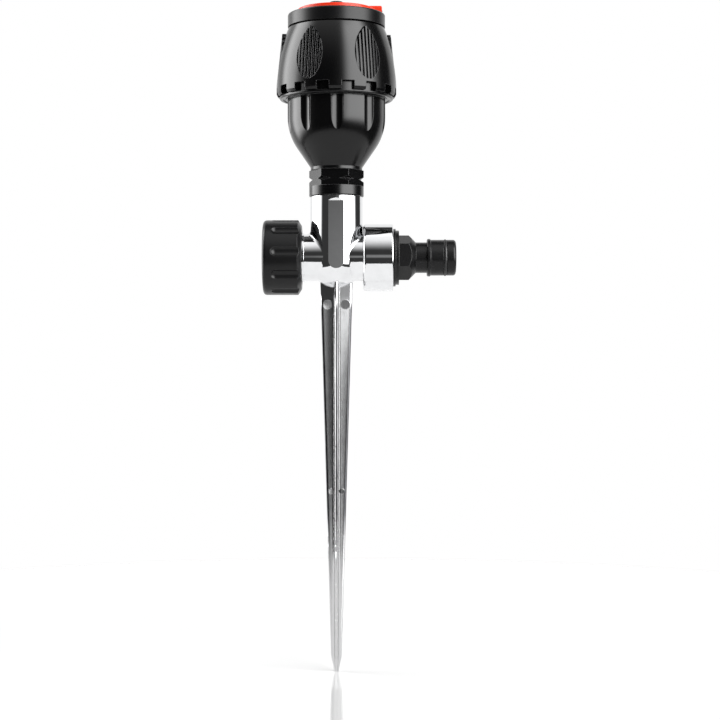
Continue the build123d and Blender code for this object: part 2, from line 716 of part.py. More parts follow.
def sleeve_skin(inset, top):
    """Solid of the upper housing's skin at an inset, cut off at a height."""
    rim = SLEEVE_RIM_RADIUS - inset
    crown = SLEEVE_TOP_RADIUS - inset
    bend = SLEEVE_FOOT + SLEEVE_STRAIGHT
    arc = TangentArc((rim, bend), (crown, SLEEVE_TOP), tangent=(0, 1))
    skin = turned(
        Line((rim, SLEEVE_FOOT), (rim, bend)),
        arc,
        Polyline((crown, SLEEVE_TOP), (0, SLEEVE_TOP), (0, SLEEVE_FOOT), (rim, SLEEVE_FOOT)),
    )
    return skin - rod(SLEEVE_RIM_RADIUS, top, SLEEVE_TOP + OVERRUN)


def grip_prism():
    """Leaf outline pushed outwards through the skin, on the X axis."""
    half = GRIP_WIDTH / 2
    foot = SLEEVE_FOOT + GRIP_FOOT
    waist = foot + GRIP_LOWER
    tip = (0, waist + GRIP_UPPER)
    outline = [
        EllipticalCenterArc((0, waist), half, GRIP_LOWER, start_angle=180, arc_size=180),
        TangentArc((half, waist), tip, tangent=(0, 1)),
        TangentArc((-half, waist), tip, tangent=(0, 1)),
    ]
    return extrude(Plane.YZ * make_face(outline), SLEEVE_RIM_RADIUS + OVERRUN)


def grip_ribs(leaf):
    """Upright ribs inside one leaf, whose crests lie on a cone and stand over the skin at the tip."""
    foot = SLEEVE_FOOT + GRIP_FOOT
    tip = foot + GRIP_LOWER + GRIP_UPPER
    crests = [(0, foot), (SLEEVE_RIM_RADIUS, foot), (GRIP_TIP_RADIUS, tip), (0, tip)]
    cone = turned(Polyline(*crests, close=True))
    band = cone - sleeve_skin(GRIP_DEPTH + SEAT_FIT, SLEEVE_TOP)
    blades = []
    for step in range(RIB_COUNT):
        offset_y = (step - (RIB_COUNT - 1) / 2) * RIB_PITCH
        blades.append(Pos(SLEEVE_RIM_RADIUS, offset_y, SLEEVE_FOOT) * Box(
            SLEEVE_RIM_RADIUS,
            RIB_WIDTH,
            SLEEVE_HEIGHT,
            align=(Align.CENTER, Align.CENTER, Align.MIN),
        ))
    return [blade & leaf & band for blade in blades]


def stop_ribs():
    """Two webs inside the skirt that meet the stop lug at either end of the twist."""
    foot = COLLAR_TOP + AIR_GAP
    middle = (SKIRT_RADIUS + INNER_RADIUS) / 2
    clear = (STOP_LUG_WIDTH + STOP_RIB_WIDTH) / 2 + AIR_GAP
    width = SKIRT_RADIUS - INNER_RADIUS
    web = Box(width, STOP_RIB_WIDTH, STOP_LUG_HEIGHT, align=(Align.CENTER, Align.CENTER, Align.MIN))
    near = Pos(middle, clear, foot) * web
    far = Rot(0, 0, -TWIST_ANGLE) * Pos(middle, -clear, foot) * web
    return [near, far]


def upper_housing():
    """Gripped sleeve in one piece with the inner cylinder, the roof and the shaft hub."""
    roof = SLEEVE_TOP - ROOF_THICKNESS
    body = sleeve_skin(0, SLEEVE_TOP)
    body = fillet(body.edges().filter_by(GeomType.CIRCLE).sort_by(Axis.Z)[-1], SLEEVE_TOP_FILLET)
    body = chamfer(
        body.edges().filter_by(GeomType.CIRCLE).sort_by(Axis.Z)[0],
        TOOTH_BEVEL_RISE,
        TOOTH_BEVEL_RUN,
        reference=body.faces().sort_by(Axis.Z)[1],
    )
    hollow = sleeve_skin(SKIRT_WALL, roof) - rod(INNER_RADIUS, SLEEVE_FOOT, SLEEVE_TOP)
    body -= hollow
    body += ring(SKIRT_RADIUS + SEAT_FIT, BEAD_RADIUS, BEAD_FOOT, BEAD_FOOT + BEAD_HEIGHT)
    body += rod(INNER_RADIUS, INNER_FOOT, SLEEVE_FOOT)
    body += stop_ribs()
    seal_foot = THROTTLE_TOP + SEAL_RISE - SEAL_SECTION
    groove_radius = INNER_RADIUS - 2 * SEAL_SECTION
    body -= [
        rod(STACK_RADIUS, INNER_FOOT, CASE_DECK),
        rod(SHOULDER_RADIUS, CASE_DECK, roof) - rod(HUB_RADIUS, HUB_FOOT, roof),
        rod(HUB_BORE_RADIUS, HUB_FOOT, SLEEVE_TOP),
        ring(BORE_RADIUS, groove_radius, seal_foot, seal_foot + 2 * SEAL_SECTION),
    ]
    notch_span = 360.0 / NOTCH_COUNT * NOTCH_SHARE
    notch_top = SLEEVE_FOOT + NOTCH_HEIGHT
    notch = sector(SLEEVE_RIM_RADIUS + OVERRUN, COLLAR_RADIUS, notch_span, SLEEVE_FOOT, notch_top)
    front_gap = TOOTH_TURN - 90.0 + 360.0 / NOTCH_COUNT / 2
    body -= around(notch, NOTCH_COUNT, front_gap)
    leaf = grip_prism()
    pocket = leaf - sleeve_skin(GRIP_DEPTH, SLEEVE_TOP)
    ribs = grip_ribs(leaf)
    body -= around(pocket, GRIP_COUNT, GRIP_TURN)
    for rib in ribs:
        body += around(rib, GRIP_COUNT, GRIP_TURN)
    return body


def housing_seal():
    """O-ring between the inner cylinder and the bore of the bowl."""
    middle = THROTTLE_TOP + SEAL_RISE
    return Pos(0, 0, middle) * Torus(INNER_RADIUS - SEAL_SECTION, SEAL_SECTION)


def stator():
    """Cup with slanted jets that throws the water at the turbine's blades."""
    plenum_top = THROTTLE_TOP + PLENUM_HEIGHT
    inner = DISC_RADIUS - STATOR_WALL
    body = rod(DISC_RADIUS, THROTTLE_TOP, CASE_FOOT)
    body -= ring(inner, TURBINE_HUB_RADIUS, THROTTLE_TOP, plenum_top)
    body -= rod(inner, STATOR_TOP, CASE_FOOT)
    body -= rod(TURBINE_SHAFT_RADIUS + RUN_FIT, STATOR_TOP - SHAFT_FOOT, STATOR_TOP)
    start = TURBINE_HUB_RADIUS + JET_MARGIN
    slot = Rot(JET_TILT, 0, 0) * Box(TURBINE_RADIUS - start, JET_WIDTH, 2 * STATOR_FLOOR + JET_WIDTH)
    slot = Pos((TURBINE_RADIUS + start) / 2, 0, (plenum_top + STATOR_TOP) / 2) * slot
    slab = rod(inner, plenum_top, STATOR_TOP)
    return body - around(slot & slab, STATOR_JETS)


def turbine_wheel():
    """Axial wheel with tilted blades."""
    top = TURBINE_FOOT + TURBINE_HEIGHT
    disc = rod(TURBINE_RADIUS, TURBINE_FOOT, top)
    middle = TURBINE_FOOT + TURBINE_HEIGHT / 2
    blade = Rot(-BLADE_TILT, 0, 0) * Box(TURBINE_RADIUS, BLADE_THICKNESS, 2 * TURBINE_HEIGHT)
    blade = Pos(TURBINE_RADIUS / 2 + TURBINE_SHAFT_RADIUS, 0, middle) * blade
    body = rod(TURBINE_HUB_RADIUS, TURBINE_FOOT, top)
    for one in around(blade & disc, BLADE_COUNT):
        body += one
    return body - rod(TURBINE_SHAFT_RADIUS + SEAT_FIT, TURBINE_FOOT, top)


def turbine_shaft():
    """Steel pin from the stator's hub to the pilot hole of the output gear."""
    return rod(TURBINE_SHAFT_RADIUS, STATOR_TOP - SHAFT_FOOT + END_PLAY, LEVELS[2] + PILOT_DEPTH - END_PLAY)


def gear(teeth, phase, foot, top, at=(0.0, 0.0)):
    """Spur gear with one tooth centred on the phase direction, in degrees."""
    pitch_radius = MODULE * teeth / 2
    pressure = radians(PRESSURE_ANGLE)
    base_radius = pitch_radius * cos(pressure)
    root_radius = pitch_radius - DEDENDUM * MODULE
    tip_radius = pitch_radius + ADDENDUM * MODULE
    half_tooth = (pi * MODULE / 2 - BACKLASH) / 2 / pitch_radius

    def half_angle(radius):
        local = acos(min(base_radius / radius, 1.0))
        return half_tooth + tan(pressure) - pressure - tan(local) + local

    radii = sorted({root_radius, max(root_radius, base_radius), pitch_radius, tip_radius})
    flank = [(radius, half_angle(radius)) for radius in radii]
    tooth = [(radius, -angle) for radius, angle in flank] + flank[::-1]
    points = []
    for step in range(teeth):
        middle = radians(phase) + 2 * pi * step / teeth
        points += [(radius * cos(middle + angle), radius * sin(middle + angle)) for radius, angle in tooth]
    return Pos(*at) * extrude(Plane.XY.offset(foot) * Polygon(*points), top - foot)


def mesh_phase(direction, teeth):
    """Phase of a pinion whose tooth gap faces back along a direction, in degrees."""
    return direction + 180.0 + 180.0 / teeth


def turbine_pinion():
    """First pinion, on the turbine shaft."""
    body = gear(PINION_TEETH, mesh_phase(180.0, PINION_TEETH), LEVELS[0], LEVELS[0] + GEAR_FACE)
    return body - rod(TURBINE_SHAFT_RADIUS + SEAT_FIT, LEVELS[0], LEVELS[1])


def idler(level, at, wheel_phase, pinion_phase):
    """Compound idler: wheel below, pinion above, on a thin hub."""
    foot = LEVELS[level]
    join = foot + GEAR_FACE
    top = LEVELS[level + 1] + GEAR_FACE
    body = gear(WHEEL_TEETH, wheel_phase, foot, join, at) + gear(PINION_TEETH, pinion_phase, join, top, at)
    hub = rod(IDLER_HUB_RADIUS, CASE_DECK + END_PLAY, CASE_TOP - END_PLAY)
    bore = rod(AXLE_RADIUS + RUN_FIT, CASE_DECK, CASE_TOP)
    return body + Pos(*at) * hub - Pos(*at) * bore


def first_idler():
    """Idler driven by the turbine pinion."""
    towards_second = 180.0 - IDLER_SPREAD
    return idler(0, AXLES[1], 180.0, mesh_phase(towards_second + 180.0, PINION_TEETH))


def second_idler():
    """Idler that drives the output gear."""
    towards_first = -IDLER_SPREAD
    return idler(1, AXLES[2], towards_first, mesh_phase(IDLER_SPREAD, PINION_TEETH))


def output_gear():
    """Last wheel, with a hub that passes through the cover into the output shaft."""
    foot = LEVELS[2]
    body = gear(WHEEL_TEETH, IDLER_SPREAD, foot, foot + GEAR_FACE)
    body += rod(OUTPUT_HUB_RADIUS, foot, SHAFT_DECK)
    return body - rod(TURBINE_SHAFT_RADIUS + RUN_FIT, foot, foot + PILOT_DEPTH)


def case_outline(margin):
    """Outline round the three gear axes at a margin."""
    return offset(Polygon(*AXLES), CASE_RADIUS + margin)


def axle_holes(foot, top):
    """Seats of the two idler axles."""
    return [Pos(*at) * rod(AXLE_RADIUS + SEAT_FIT / 2, foot, top) for at in AXLES[1:]]


def gear_case():
    """Cup round the gear train on a disc with windows for the water."""
    body = rod(DISC_RADIUS, CASE_FOOT, CASE_DECK)
    body += extrude(Plane.XY.offset(CASE_DECK) * case_outline(CASE_WALL), CASE_TOP - CASE_DECK)
    body -= extrude(Plane.XY.offset(CASE_DECK) * case_outline(0), CASE_TOP - CASE_DECK)
    outer = SHOULDER_RADIUS - CASE_WINDOW_MARGIN
    inner = CASE_RADIUS + CASE_WALL + CASE_WINDOW_MARGIN
    window = sector(outer, inner, CASE_WINDOW_SPAN, CASE_FOOT, CASE_DECK)
    middle = IDLER_SPREAD / 2 + 180.0
    spread = CASE_WINDOW_SPAN / 2 + CASE_WINDOW_MARGIN
    body -= [Rot(0, 0, middle + side * spread) * window for side in (-1, 1)]
    body -= rod(TURBINE_SHAFT_RADIUS + RUN_FIT, CASE_FOOT, CASE_DECK)
    return body - axle_holes(CASE_DECK - AXLE_SEAT, CASE_DECK)


def gear_case_cover():
    """Lid of the gear case."""
    body = extrude(Plane.XY.offset(CASE_TOP) * case_outline(CASE_WALL), COVER_THICKNESS)
    body -= rod(OUTPUT_HUB_RADIUS + RUN_FIT, CASE_TOP, COVER_TOP)
    return body - axle_holes(CASE_TOP, CASE_TOP + AXLE_SEAT)


def idler_axles():
    """The two fixed pins of the idlers."""
    return [Pos(*at) * rod(AXLE_RADIUS, CASE_DECK - AXLE_SEAT, CASE_TOP + AXLE_SEAT) for at in AXLES[1:]]


def output_shaft():
    """Hollow shaft with side ports, a thrust flange and a closed foot."""
    body = rod(SHAFT_RADIUS, SHAFT_FOOT_HEIGHT, TOP_FOOT)
    body += rod(THRUST_RADIUS, THRUST_TOP - THRUST_THICKNESS, THRUST_TOP)
    body -= rod(SHAFT_BORE_RADIUS, SHAFT_DECK, TOP_FOOT)
    body -= rod(OUTPUT_HUB_RADIUS + SEAT_FIT, SHAFT_FOOT_HEIGHT, SHAFT_DECK)
    port_top = THRUST_TOP - THRUST_THICKNESS
    port_height = port_top - SHAFT_DECK
    port = Box(SHAFT_RADIUS, SHAFT_PORT_WIDTH, port_height, align=(Align.MIN, Align.CENTER, Align.MIN))
    return body - around(Pos(SHAFT_BORE_RADIUS / 2, 0, SHAFT_DECK) * port, SHAFT_PORTS, 180.0 / SHAFT_PORTS)


def thrust_washer():
    """Washer between the shaft's flange and the hub."""
    return ring(THRUST_RADIUS, SHAFT_RADIUS + RUN_FIT, HUB_FOOT - THRUST_WASHER, HUB_FOOT)


def shaft_bush():
    """Bearing of the output shaft in the hub."""
    return ring(HUB_BORE_RADIUS - SEAT_FIT, SHAFT_RADIUS + RUN_FIT, HUB_FOOT, HUB_FOOT + BUSH_LENGTH)


def shaft_seal():
    """Rubber seal over the bush."""
    foot = HUB_FOOT + BUSH_LENGTH
    return ring(HUB_BORE_RADIUS - SEAT_FIT, SHAFT_RADIUS + RUN_FIT, foot, foot + SHAFT_SEAL_LENGTH)


def turret_base():
    """Black drum on the shaft, hollow below, with a recess for the top."""
    body = rod(TURRET_RADIUS, TURRET_FOOT, TURRET_TOP)
    rim = body.edges().filter_by(GeomType.CIRCLE).sort_by(Axis.Z)[-1]
    body = fillet(rim, TURRET_EDGE)
    body -= rod(TOP_RADIUS + SEAT_FIT, TOP_FOOT, TURRET_TOP)
    core_top = TOP_FOOT - TURRET_FLOOR
    body -= ring(TURRET_RADIUS - TURRET_WALL, TURRET_CORE_RADIUS, TURRET_FOOT, core_top)
    return body - rod(SHAFT_RADIUS + SEAT_FIT, TURRET_FOOT, TOP_FOOT)


def jet_axis():
    """Frame of the rising jet, with its Z along the jet."""
    rise = radians(JET_ELEVATION)
    return Plane((JET_START, 0, CHANNEL), x_dir=(0, 1, 0), z_dir=(cos(rise), 0, sin(rise)))


def turret_top():
    """Orange top with the jet hood, the valve chamber and the water channel."""
    body = rod(TOP_RADIUS - TOP_STEP, TOP_FOOT, TOP_HEIGHT)
    body = fillet(body.edges().filter_by(GeomType.CIRCLE).sort_by(Axis.Z)[-1], TOP_EDGE)
    body += rod(TOP_RADIUS, TOP_FOOT, TURRET_TOP + TOP_STEP_HEIGHT)
    hood = Box(
        HOOD_REACH - HOOD_START,
        HOOD_WIDTH,
        HOOD_HEIGHT,
        align=(Align.MIN, Align.CENTER, Align.MIN),
    )
    rim = hood.edges().group_by(Axis.Z)[-1]
    soft = rim.filter_by(Axis.X) + rim.filter_by(Axis.Y).sort_by(Axis.X)[-1:]
    hood = Pos(HOOD_START, 0, TURRET_TOP) * fillet(soft, HOOD_EDGE)
    body += hood
    channel = Plane((0, 0, CHANNEL), x_dir=(0, 1, 0), z_dir=(1, 0, 0)) * Circle(CHANNEL_RADIUS)
    return body - [
        rod(PLUG_RADIUS + RUN_FIT, TOP_FOOT, TOP_FOOT + PLUG_HEIGHT + END_PLAY),
        rod(STEM_RADIUS + RUN_FIT, TOP_FOOT, TOP_HEIGHT),
        extrude(channel, JET_START),
        extrude(jet_axis() * Circle(NOZZLE_RADIUS + SEAT_FIT), HOOD_REACH),
    ]


def jet_nozzle():
    """Tube in the hood that forms the jet."""
    reach = (HOOD_REACH - JET_START) / cos(radians(JET_ELEVATION))
    tube = jet_axis().offset(reach - NOZZLE_LENGTH) * (Circle(NOZZLE_RADIUS) - Circle(NOZZLE_BORE_RADIUS))
    return extrude(tube, NOZZLE_LENGTH)


def range_plug():
    """Hollow plug valve with a side window and a stem."""
    top = TOP_FOOT + PLUG_HEIGHT
    body = rod(PLUG_RADIUS, TOP_FOOT + END_PLAY, top)
    body -= rod(PLUG_RADIUS - PLUG_WALL, TOP_FOOT, top - PLUG_WALL)
    window = Box(PLUG_RADIUS, PLUG_WINDOW, PLUG_WINDOW, align=(Align.MIN, Align.CENTER, Align.CENTER))
    body -= Pos(STEM_RADIUS / 2, 0, CHANNEL) * window
    return body + rod(STEM_RADIUS, top - PLUG_WALL, KNOB_FOOT + STEM_REACH)


def range_knob():
    """Serrated knob on the plug's stem."""
    top = KNOB_FOOT + KNOB_HEIGHT
    body = rod(KNOB_RADIUS, KNOB_FOOT, top)
    body = chamfer(body.edges().filter_by(GeomType.CIRCLE).sort_by(Axis.Z)[-1], KNOB_EDGE)
    notch = Pos(KNOB_RADIUS, 0, 0) * rod(KNOB_NOTCH_RADIUS, KNOB_FOOT, top)
    body -= around(notch, KNOB_NOTCHES)
    return body - rod(STEM_RADIUS + SEAT_FIT, KNOB_FOOT, KNOB_FOOT + STEM_REACH)


PIECES = [
    spike_body,
    inlet_adapter,
    inlet_washer,
    nipple_o_ring,
    end_cap,
    end_cap_washer,
    head_washer,
    lower_housing,
    inlet_strainer,
    port_plate,
    upper_housing,
    housing_seal,
    throttle_disc,
    stator,
    turbine_wheel,
    turbine_shaft,
    turbine_pinion,
    gear_case,
    gear_case_cover,
    idler_axles,
    first_idler,
    second_idler,
    output_gear,
    output_shaft,
    thrust_washer,
    shaft_bush,
    shaft_seal,
    turret_base,
    turret_top,
    jet_nozzle,
    range_plug,
    range_knob,
]

os.makedirs("parts", exist_ok=True)
for piece in PIECES:
    shape = piece()
    solids = shape if isinstance(shape, list) else [shape]
    export_step(Compound(children=solids), f"parts/{piece.__name__}.step")
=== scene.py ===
"""Looks of a rotary garden sprinkler on a ground spike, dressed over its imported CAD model.

Metres throughout. The origin lies on the spike's axis at the ground line, +Z is up and the hose inlet is +X.
"""

import json
import logging
import math
from abc import ABC, abstractmethod
from dataclasses import dataclass
from enum import Enum
from typing import Sequence, Union

import bmesh
import bpy
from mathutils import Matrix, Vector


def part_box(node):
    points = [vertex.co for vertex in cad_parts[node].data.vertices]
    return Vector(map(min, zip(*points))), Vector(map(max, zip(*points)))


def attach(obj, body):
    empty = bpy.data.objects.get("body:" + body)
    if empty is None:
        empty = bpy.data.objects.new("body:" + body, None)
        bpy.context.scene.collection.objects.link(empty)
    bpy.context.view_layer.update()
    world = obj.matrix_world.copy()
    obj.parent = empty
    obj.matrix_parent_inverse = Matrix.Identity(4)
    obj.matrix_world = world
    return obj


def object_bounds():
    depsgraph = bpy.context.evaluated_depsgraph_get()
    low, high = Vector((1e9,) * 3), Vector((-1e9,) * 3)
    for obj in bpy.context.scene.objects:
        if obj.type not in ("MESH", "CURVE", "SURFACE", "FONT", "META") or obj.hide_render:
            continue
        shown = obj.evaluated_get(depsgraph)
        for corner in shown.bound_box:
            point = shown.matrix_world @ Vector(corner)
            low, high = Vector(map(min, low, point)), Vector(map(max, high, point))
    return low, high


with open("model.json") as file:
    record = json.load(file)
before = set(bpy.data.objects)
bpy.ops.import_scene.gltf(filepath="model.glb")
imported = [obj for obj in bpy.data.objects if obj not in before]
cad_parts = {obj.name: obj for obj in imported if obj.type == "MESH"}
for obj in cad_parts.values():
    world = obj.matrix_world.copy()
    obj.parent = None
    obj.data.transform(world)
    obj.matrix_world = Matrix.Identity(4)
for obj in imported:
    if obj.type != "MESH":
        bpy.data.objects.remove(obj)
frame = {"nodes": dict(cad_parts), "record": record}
CAD_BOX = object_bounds()

LOG = logging.getLogger("sprinkler")
MM = 0.001

Colour = tuple[float, float, float]
Point = tuple[float, float, float]

WHITE: Colour = (1.0, 1.0, 1.0)

# Noises and rounded edges in the shaders
NOISE_MIDDLE = 0.5
NOISE_DETAIL = 2.0
BEVEL_SAMPLES = 6
EDGE_START = 0.02
EDGE_FULL = 0.25

# Socket numbers of the colour mixing and the shader mixing node, whose socket names repeat
MIX_FACTOR, MIX_FIRST, MIX_SECOND, MIX_RESULT = 0, 6, 7, 2
BLEND_FACTOR, BLEND_FIRST, BLEND_SECOND = 0, 1, 2


class Slot(Enum):
    """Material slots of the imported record."""

    CHROME = "chrome_zinc"
    GLOSS = "black_gloss"
    SATIN = "black_satin"
    ORANGE = "orange_plastic"
    RUBBER = "rubber"
    ACETAL = "gear_acetal"
    STEEL = "steel"


class Body(Enum):
    """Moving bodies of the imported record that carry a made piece."""

    BASE = "base"
    CAP = "end_cap"


class Signal:
    """A node's output socket on which shader maths is written with Python's operators."""

    def __init__(self, graph: "Graph", socket: bpy.types.NodeSocket) -> None:
        """Wrap a socket of a graph."""
        self.graph = graph
        self.socket = socket

    def __add__(self, other: "Value") -> "Signal":
        """Sum of two values."""
        return self.graph.math("ADD", self, other)

    __radd__ = __add__

    def __sub__(self, other: "Value") -> "Signal":
        """Difference of two values."""
        return self.graph.math("SUBTRACT", self, other)

    def __rsub__(self, other: "Value") -> "Signal":
        """Difference with the signal on the right."""
        return self.graph.math("SUBTRACT", other, self)

    def __mul__(self, other: "Value") -> "Signal":
        """Product of two values."""
        return self.graph.math("MULTIPLY", self, other)

    __rmul__ = __mul__

    def __truediv__(self, other: "Value") -> "Signal":
        """Quotient of two values."""
        return self.graph.math("DIVIDE", self, other)

    def __rtruediv__(self, other: "Value") -> "Signal":
        """Quotient with the signal on the right."""
        return self.graph.math("DIVIDE", other, self)

    def __neg__(self) -> "Signal":
        """The value with its sign changed."""
        return self.graph.math("MULTIPLY", self, -1.0)

    def __abs__(self) -> "Signal":
        """The value without its sign."""
        return self.graph.math("ABSOLUTE", self)

    def rise(self, start: float, end: float) -> "Signal":
        """A smooth step from 0 at start to 1 at end."""
        ends = {"Value": self, "From Min": start, "From Max": end}
        return self.graph.signal("ShaderNodeMapRange", {"interpolation_type": "SMOOTHSTEP"}, ends)

    def window(self, start: float, end: float, soft: float) -> "Signal":
        """1 between start and end, 0 outside, with soft shoulders."""
        return self.rise(start - soft, start + soft) * (1.0 - self.rise(end - soft, end + soft))

    def drift(self, amount: float) -> "Signal":
        """A noise as a change about zero, by up to half the amount each way."""
        return (self - NOISE_MIDDLE) * amount


Value = Union[Signal, float, Sequence[float]]
Inputs = dict[Union[str, int], Value]


class Graph:
    """The node tree of one material or world."""

    def __init__(self, tree: bpy.types.NodeTree) -> None:
        """Take over a node tree and empty it."""
        self.tree = tree
        self.tree.nodes.clear()

    def node(
        self,
        kind: str,
        settings: dict[str, object] | None = None,
        inputs: Inputs | None = None,
    ) -> bpy.types.Node:
        """Add a node.

        Args:
            kind: Blender's type name of the node.
            settings: Properties of the node, set before its sockets.
            inputs: Values or links of its input sockets, by name or number.

        Returns:
            The new node.
        """
        made = self.tree.nodes.new(kind)
        for name, setting in (settings or {}).items():
            setattr(made, name, setting)
        for name, value in (inputs or {}).items():
            socket = made.inputs[name]
            if isinstance(value, Signal):
                self.tree.links.new(value.socket, socket)
            else:
                socket.default_value = value
        return made

    def signal(
        self,
        kind: str,
        settings: dict[str, object] | None = None,
        inputs: Inputs | None = None,
        output: str | int = 0,
    ) -> Signal:
        """Add a node and take one of its outputs.

        Args:
            kind: Blender's type name of the node.
            settings: Properties of the node, set before its sockets.
            inputs: Values or links of its input sockets, by name or number.
            output: The output socket, by name or number.

        Returns:
            The output as a signal.
        """
        return Signal(self, self.node(kind, settings, inputs).outputs[output])

    def math(self, operation: str, *values: Value) -> Signal:
        """One Math node on plain values."""
        return self.signal("ShaderNodeMath", {"operation": operation}, dict(enumerate(values)))

    def split(self, vector: Signal) -> list[Signal]:
        """The three parts of a vector."""
        parts = self.node("ShaderNodeSeparateXYZ", {}, {"Vector": vector})
        return [Signal(self, socket) for socket in parts.outputs]

    def mix(self, factor: Value, first: Value, second: Value) -> Signal:
        """Blend two colours by a factor."""
        inputs = {MIX_FACTOR: factor, MIX_FIRST: first, MIX_SECOND: second}
        return self.signal("ShaderNodeMix", {"data_type": "RGBA"}, inputs, MIX_RESULT)

    def blend(self, factor: Value, first: Signal, second: Signal) -> Signal:
        """Blend two shaders by a factor."""
        inputs = {BLEND_FACTOR: factor, BLEND_FIRST: first, BLEND_SECOND: second}
        return self.signal("ShaderNodeMixShader", {}, inputs)

    def dot(self, first: Value, second: Value) -> Signal:
        """Dot product of two vectors."""
        inputs = {0: first, 1: second}
        return self.signal("ShaderNodeVectorMath", {"operation": "DOT_PRODUCT"}, inputs, "Value")

    def place(self) -> Signal:
        """Position on the object, which moves with its body."""
        return self.signal("ShaderNodeTexCoord", output="Object")

    def noise(self, place: Value, size: float, detail: float = NOISE_DETAIL) -> Signal:
        """Fractal noise of about a given grain size in metres."""
        inputs = {"Vector": place, "Scale": 1.0 / size, "Detail": detail}
        return self.signal("ShaderNodeTexNoise", {}, inputs)

    def rounded(self, radius: float) -> Signal:
        """Normal with edges rounded to a radius."""
        return self.signal("ShaderNodeBevel", {"samples": BEVEL_SAMPLES}, {"Radius": radius})

    def edges(self, rounded: Signal) -> Signal:
        """Mask that is 1 along sharp edges and 0 on plain faces."""
        plain = self.signal("ShaderNodeNewGeometry", output="Normal")
        return (1.0 - self.dot(plain, rounded)).rise(EDGE_START, EDGE_FULL)

    def bump(
        self,
        height: Signal,
        distance: float = 1.0,
        strength: float = 1.0,
        normal: Signal | None = None,
    ) -> Signal:
        """A normal tilted by a height over the surface.

        Args:
            height: The height, in shares of the distance.
            distance: Height in metres that a value of 1 stands for.
            strength: Share of the tilt that is used.
            normal: The normal to tilt, or the surface's own if there is none.

        Returns:
            The tilted normal.
        """
        inputs: Inputs = {"Strength": strength, "Distance": distance, "Height": height}
        if normal is not None:
            inputs["Normal"] = normal
        return self.signal("ShaderNodeBump", {}, inputs)

    def surface(self, inputs: Inputs) -> Signal:
        """The shader of a solid surface."""
        return self.signal("ShaderNodeBsdfPrincipled", {}, inputs)


def opaque(colour: Colour) -> tuple[float, float, float, float]:
    """A colour with full alpha."""
    return (*colour, 1.0)


def slope(angle: float) -> float:
    """Rise over run of an angle in degrees."""
    return math.tan(math.radians(angle))


@dataclass(frozen=True)
class Finish(ABC):
    """A surface finish that makes one material."""

    label: str

    @abstractmethod
    def shade(self, graph: Graph) -> Signal:
        """Build the finish's shader in a graph and return it."""

    def material(self) -> bpy.types.Material:
        """Make the material.

        Returns:
            A new material with this finish.
        """
        made = bpy.data.materials.new(self.label)
        made.use_nodes = True
        graph = Graph(made.node_tree)
        graph.node("ShaderNodeOutputMaterial", {}, {"Surface": self.shade(graph)})
        return made


@dataclass(frozen=True)
class MouldedPlastic(Finish):
    """Injection-moulded plastic with slow flow marks, a fine tool grain and edges painted lighter, partly as
    rubbed wear and partly as painted highlight.
    """

    colour: Colour
    flow_colour: Colour
    # Lighter colour of the edges: partly rubbed wear, partly painted highlight.
    rubbed_and_highlight_colour: Colour
    roughness: float
    roughness_drift: float
    shine: float
    flow_size: float = 14 * MM
    grain_size: float = 0.22 * MM
    grain_height: float = 0.004 * MM
    grain_strength: float = 0.25
    edge_radius: float = 0.35 * MM
    edge_rub_and_highlight: float = 0.7
    rub_roughness: float = 0.25

    def shade(self, graph: Graph) -> Signal:
        """Build the plastic's shader.

        Args:
            graph: The node tree to build it in.

        Returns:
            The shader.
        """
        place = graph.place()
        flow = graph.noise(place, self.flow_size)
        grain = graph.noise(place, self.grain_size)
        rounded = graph.rounded(self.edge_radius)
        # Edge mask: the edges are painted lighter, partly as rubbed wear and partly as painted highlight.
        rub_and_highlight = graph.edges(rounded) * self.edge_rub_and_highlight
        body = graph.mix(flow, opaque(self.colour), opaque(self.flow_colour))
        return graph.surface(
            {
                "Base Color": graph.mix(rub_and_highlight, body, opaque(self.rubbed_and_highlight_colour)),
                "Roughness": self.roughness + flow.drift(self.roughness_drift) + rub_and_highlight * self.rub_roughness,
                "Specular IOR Level": self.shine,
                "Normal": graph.bump(grain, self.grain_height, self.grain_strength, rounded),
            }
        )


@dataclass(frozen=True)
class SpikePlace:
    """Where a point of the casting lies on its cross-shaped spike.

    Attributes:
        across: Place across the front, from the axis.
        height: Place above the ground line.
        out: Distance out from the core.
        span: Reach of the fins beyond the core.
        spike: 1 on the spike, 0 on the fitting above it.
        fin: 1 on the fins, 0 on the core.
        front: 1 on the front and the back fin.
        tip: 1 on the edge of a fin.
        clean: 1 above the darker foot.
    """

    across: Signal
    height: Signal
    out: Signal
    span: Signal
    spike: Signal
    fin: Signal
    front: Signal
    tip: Signal
    clean: Signal


